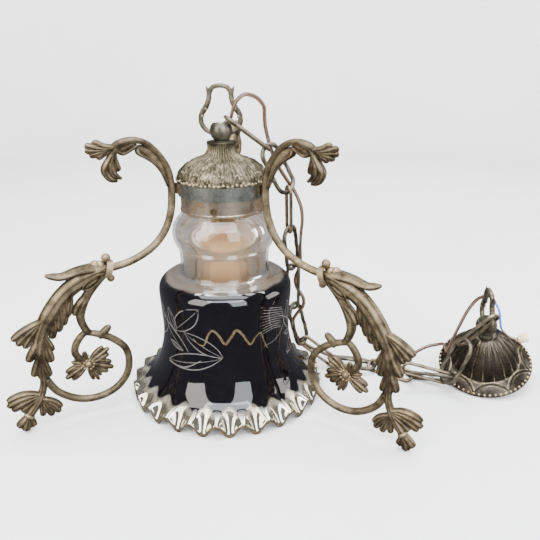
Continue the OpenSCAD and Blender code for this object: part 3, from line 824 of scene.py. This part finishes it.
def foot_leaves(shape):
    """A palmette either side, and a bud that stands on the table."""
    for tip, width, bow in (((230, 38), 9, 0.14), ((230.5, 32), 9, 0.10), ((227, 27), 8.5, 0.05),
                            ((219, 24), 8, 0)):
        leaflet(shape, (198, 38), tip, width, 4, bow)
    for tip, width, bow in (((182, 19), 8, -0.1), ((184, 14), 8, -0.06), ((191, 12), 8, 0),
                            ((200, 14), 7.5, 0)):
        leaflet(shape, (199, 34), tip, width, 4, bow)
    shape.ball((212.5, 0, 18), 5.8, 0.5, (0.6, 0, -0.8), 12)
    for foot, tip, thick in (((213, 17), (210.5, 4.5), 5), ((214, 18), (224, 7), 5),
                             ((213.5, 18), (218, 2), 6.5)):
        leaflet(shape, foot, tip, 10, thick)


def branch(shape):
    """The inner branch, with leaves down its side and a stalk to the flower."""
    shape.strand([
        [125, 156, 4, 4.5], [134, 148, 4.6, 5], [143, 138, 5, 5.4], [150, 126, 5.4, 5.6],
        [153, 114, 5, 5.2], [151, 104, 4.6, 5], [147, 96, 4, 4.4]], 6, 18, grooves=4, depth=0.2)
    leaflet(shape, (146, 136), (158, 117), 8, 6.4, 0.08)
    leaflet(shape, (146, 132), (153, 118), 6, 6.6, 0.02)
    shape.strand([
        [149, 98, 3, 3.4], [156, 92, 3.6, 3.8], [161, 84, 3.8, 4], [162, 76, 3.8, 4],
        [158, 69, 3.6, 4], [152, 64, 3.5, 3]], 6, 14)


def lower_scroll(shape):
    """The round scroll between branch and foot, with a nub on its shoulder."""
    shape.strand([
        [151, 97, 3, 3.5], [139, 93, 3.6, 3.8], [125, 85, 3.8, 4], [113, 72, 3.9, 4],
        [110, 56, 3.9, 4], [114, 40, 3.9, 4], [125, 28, 3.9, 4], [140, 22, 3.9, 4],
        [156, 22, 3.9, 4], [171, 28, 3.9, 4], [184, 39, 3.9, 4], [192, 54, 4, 4.5]],
        6, 18, grooves=3, depth=0.06)
    shape.strand([[138, 89, 3.6, 3.8], [132, 94, 4, 4], [127.5, 98, 3.4, 3.6], [126, 100, 1.6, 1.8]],
                 5, 14)


def lower_arm(i):
    """The casting from the collar down to the foot on the table."""
    shape = Shape()
    acanthus_stem(shape)
    rolled_head(shape)
    stem_leaves(shape)
    foot_leaves(shape)
    branch(shape)
    lower_scroll(shape)
    flower(shape, 151, 63)
    obj = shape.make(f"lower_arm_cast_{ARMS[i]}", finish["arm_metal"], arm_place(i), floor=True)
    stand_in(obj, "lamp", "arm_metal", f"lower_arm_{ARMS[i]}")


for arm in range(3):
    upper_arm(arm)
    lower_arm(arm)


# ----------------------------------------------------------------- loops

LOOP_HALF = [
    [9, 284, 2.5, 2.5], [15, 287, 2.8, 2.8], [19.3, 294, 2.9, 2.9], [18.5, 302, 3.1, 3],
    [14, 309, 3.2, 3.1], [11.2, 316, 3, 3], [10.4, 322, 2.9, 2.9], [7, 327, 2.7, 2.7],
    [0, 328.6, 2.6, 2.6]]
BALL_Z = 286


def lyre_loop(name, place, body, replaced):
    """A lyre-shaped cast loop with a rope twist and two ears."""
    shape = Shape()
    whole = LOOP_HALF + [[-x, z, w, d] for x, z, w, d in reversed(LOOP_HALF[:-1])]
    shape.strand(whole, 8, 18, grooves=4, depth=0.10, lobes=26, lobe_depth=0.10)
    for side in (-1, 1):
        shape.strand([[side * 10, 319, 2.2, 2.1], [side * 12, 324, 1.8, 1.7], [side * 13.5, 328, 0.4, 0.4]],
                     5, 14, grooves=3, depth=0.2)
        for x, z in ((17.6, 300), (14.2, 307)):
            for face in (-2.2, 2.2):
                shape.ball((side * x, face, z), 1.5)
    stand_in(shape.make(name, finish["loop_metal"], place), body, "loop_metal", replaced)


lyre_loop("hanging_loop_cast", Matrix(), "hanger", "hanging_loop")


# ----------------------------------------------------------------- chain

# Middle, turn, rise and roll of the dressed links.
DRESSED = {
    2: [56.2, 9.2, 247.2, 14, -63, 61],
    4: [70.4, 30.8, 155.3, 67, -74, 99],
    6: [79.9, 37.9, 59.3, 16, -75, 48],
    8: [145.7, 40, 7.2, -11, -2, -7],
    10: [230.7, 2.7, 13, -27, 10, -42],
    12: [253.3, -8, 39.5, 11, 68, 21]}
LINK_L, LINK_W, LINK_ROD = 58, 27, 5
LINK_BEND = (LINK_W - LINK_ROD) / 2     # radius of its round ends
LINK_HALF = (LINK_L - LINK_W) / 2       # half of its straight sides


def link_place(x, y, z, turn, rise, roll):
    """Where a link drawn flat along X lies."""
    return (Matrix.Translation((x, y, z)) @ Matrix.Rotation(math.radians(turn), 4, "Z")
            @ Matrix.Rotation(math.radians(-rise), 4, "Y") @ Matrix.Rotation(math.radians(roll), 4, "X"))


def link_course(s):
    """Place and outward direction at a distance along a link's middle line."""
    side, end = 2 * LINK_HALF, math.pi * LINK_BEND
    if s < side:
        return Vector((s - LINK_HALF, -LINK_BEND, 0)), Vector((0, -1, 0))
    if s < side + end:
        out = Vector(spot(1, (s - side) / LINK_BEND - math.pi / 2, 0))
        return Vector((LINK_HALF, 0, 0)) + out * LINK_BEND, out
    if s < 2 * side + end:
        return Vector((LINK_HALF - (s - side - end), LINK_BEND, 0)), Vector((0, 1, 0))
    out = Vector(spot(1, (s - 2 * side - end) / LINK_BEND + math.pi / 2, 0))
    return Vector((-LINK_HALF, 0, 0)) + out * LINK_BEND, out


def dressed_link(number):
    """A cast link with a rope twist, deepest along its sides."""
    around = TAU * LINK_BEND + 4 * LINK_HALF
    count, sides, twists = 150, 14, 9
    rings = []
    for i in range(count):
        here, out = link_course(around * i / count)
        side_way = 1 - min(abs(here.x) / (LINK_HALF + 4), 1)
        ring = []
        for b in turns(sides):
            strand = 0.5 + 0.5 * math.cos(3 * b + i * TAU * twists / count)
            r = LINK_ROD / 2 * (1 - (0.10 + 0.16 * side_way) * strand)
            ring.append(here + out * r * math.cos(b) + Vector((0, 0, 1)) * r * math.sin(b))
        rings.append(ring)
    shape = Shape()
    shape.rings(rings, closed=True)
    name = f"link_{number:02d}"
    obj = shape.make(f"{name}_dressed", finish["dressed_metal"], link_place(*DRESSED[number]))
    stand_in(obj, "chain_run" if number >= 8 else "chain_drop", "dressed_metal", name)


for number in DRESSED:
    dressed_link(number)


# ---------------------------------------------------------------- canopy

CANOPY_R = 52
CANOPY_H = 48
CANOPY_X, CANOPY_Y = 297, 26
LEAN = math.radians(23)         # the canopy lies on one edge of its rim
TURN = math.radians(242)
LOOP_LEAN = math.radians(9)
LOOP_RISE = 14.5                # from the bell's top to the middle of the canopy's ball
CANOPY = (Matrix.Translation((CANOPY_X, CANOPY_Y, CANOPY_R * math.sin(LEAN) + 0.5))
          @ Matrix.Rotation(TURN, 4, "Z") @ Matrix.Rotation(LEAN, 4, "Y"))
BELL = [
    (5.3, 48), (8.5, 48), (12, 47.2), (18.5, 43), (25, 35.5), (30.5, 27), (34.5, 18), (36.5, 11),
    (38, 8.4), (44, 6), (49.8, 2.3), (51, 1.1), (50.8, 0.3), (48.8, 0.4), (43, 4.4), (37, 6.6), (35, 10),
    (33, 17.6), (29.4, 26), (24, 34.4), (17.8, 41.8), (11.6, 45.8), (5.3, 46.6)]
FLUTES = 18


def bell_relief(angle, r, h):
    """Rounded flutes on the bell; raised petal outlines on its flange."""
    flute = 0
    if 8 < h < 47:
        swell = min((h - 8) / 5, (47 - h) / 8, 1)
        flute = swell * 1.9 * (abs(math.cos(FLUTES * angle / 2)) ** 0.6 - 1)
    petal = 0
    if r > 37 and h < 9.5:
        line = 50 - 11.5 * abs(math.sin(4 * angle)) ** 0.6
        petal = 1.0 * math.exp(-((r - line) / 0.9) ** 2) * min(max(51 - r, 0) / 1.5, 1)
    return flute + petal


def make_bell():
    """The canopy's fluted bell, and the row of beads on its rim."""
    shape = Shape()
    turned(shape, BELL, 11, bell_relief, 384)
    stand_in(shape.make("bell_fluted", finish["bell_metal"], CANOPY), "bell", "bell_metal", "canopy_bell")
    beads = Shape()
    for a in turns(54):
        beads.ball(spot(49.3, a, 2.1), 1.6)
    stand_in(beads.make("bell_beading", bead_gold, CANOPY), "bell", "bell_metal")


make_bell()
loop_place = (CANOPY @ Matrix.Translation((0, 0, CANOPY_H + LOOP_RISE))
              @ Matrix.Rotation(LOOP_LEAN - LEAN, 4, "Y") @ Matrix.Rotation(math.pi / 2 - TURN, 4, "Z")
              @ Matrix.Translation((0, 0, -BALL_Z)))
lyre_loop("canopy_loop_cast", loop_place, "canopy", "canopy_loop")


# ----------------------------------------------------- floor and lighting

def make_floor():
    """A pale round table top that sweeps up into a wall on every side."""
    flat, sweep, top, sides = 1.7, 0.6, 3.0, 96
    bend = [math.pi / 2 * i / 12 for i in range(1, 13)]
    outline = [(0.8, 0), (flat, 0)]
    outline += [(flat + sweep * math.sin(a), sweep - sweep * math.cos(a)) for a in bend]
    outline.append((flat + sweep, top))
    verts = [spot(r, a, z) for r, z in outline for a in turns(sides)]
    faces = [tuple(range(sides))]
    for i in range(len(outline) - 1):
        low, high = i * sides, (i + 1) * sides
        faces += [(low + j, high + j, high + (j + 1) % sides, low + (j + 1) % sides) for j in range(sides)]
    f = Finish("floor")
    f.set(Base_Color=f.ramp(f.noise(3, 2), [(0.3, (0.88, 0.88, 0.88)), (0.7, (0.92, 0.92, 0.92))]),
          Roughness=0.7)
    mesh = bpy.data.meshes.new("floor")
    mesh.from_pydata(verts, [], faces)
    mesh.polygons.foreach_set("use_smooth", [True] * len(mesh.polygons))
    mesh.materials.append(f.material)
    floor = bpy.data.objects.new("floor", mesh)
    bpy.context.collection.objects.link(floor)
    floor.visible_glossy = False    # the dark skirt mirrors the room, not the white table


def area_light(name, place, target, size, power, colour):
    """A rectangular light that points at its target and is seen only in reflections."""
    data = bpy.data.lights.new(name, "AREA")
    data.shape = "RECTANGLE"
    data.size, data.size_y = size
    data.energy = power
    data.color = colour
    lamp = bpy.data.objects.new(name, data)
    lamp.location = place
    lamp.visible_camera = False
    lamp.rotation_euler = (Vector(target) - Vector(place)).to_track_quat("-Z", "Y").to_euler()
    bpy.context.collection.objects.link(lamp)


def light_scene():
    """A dim room with two windows, a bank of light in front and soft fills."""
    world = bpy.data.worlds.new("room")
    bpy.context.scene.world = world
    world.use_nodes = True
    sky = world.node_tree.nodes["Background"]
    sky.inputs["Color"].default_value = (0.66, 0.68, 0.72, 1)
    sky.inputs["Strength"].default_value = 0.3
    area_light("left_window", (-0.95, -1.05, 0.93), (0, 0, 0.1), (0.85, 1.6), 36, (1.0, 0.96, 0.90))
    area_light("right_window", (0.68, -1.2, 0.93), (0, 0, 0.1), (0.7, 1.6), 28, (0.90, 0.94, 1.0))
    area_light("front_bank", (0.08, -0.8, 1.4), (0, 0, 0.1), (1.3, 0.45), 20, (0.90, 0.95, 1.0))
    area_light("overhead", (0.0, 0.05, 1.6), (0, 0, 0), (1.4, 0.9), 30, (0.94, 0.97, 1.0))
    area_light("side_fill", (1.5, 0.1, 0.7), (0.1, 0, 0.1), (0.8, 0.9), 14, (1.0, 0.97, 0.93))
    area_light("backdrop_wash", (0.2, 0.5, 1.9), (0.1, 1.8, 0.5), (2.2, 0.6), 60, (1, 1, 1))


make_floor()
light_scene()
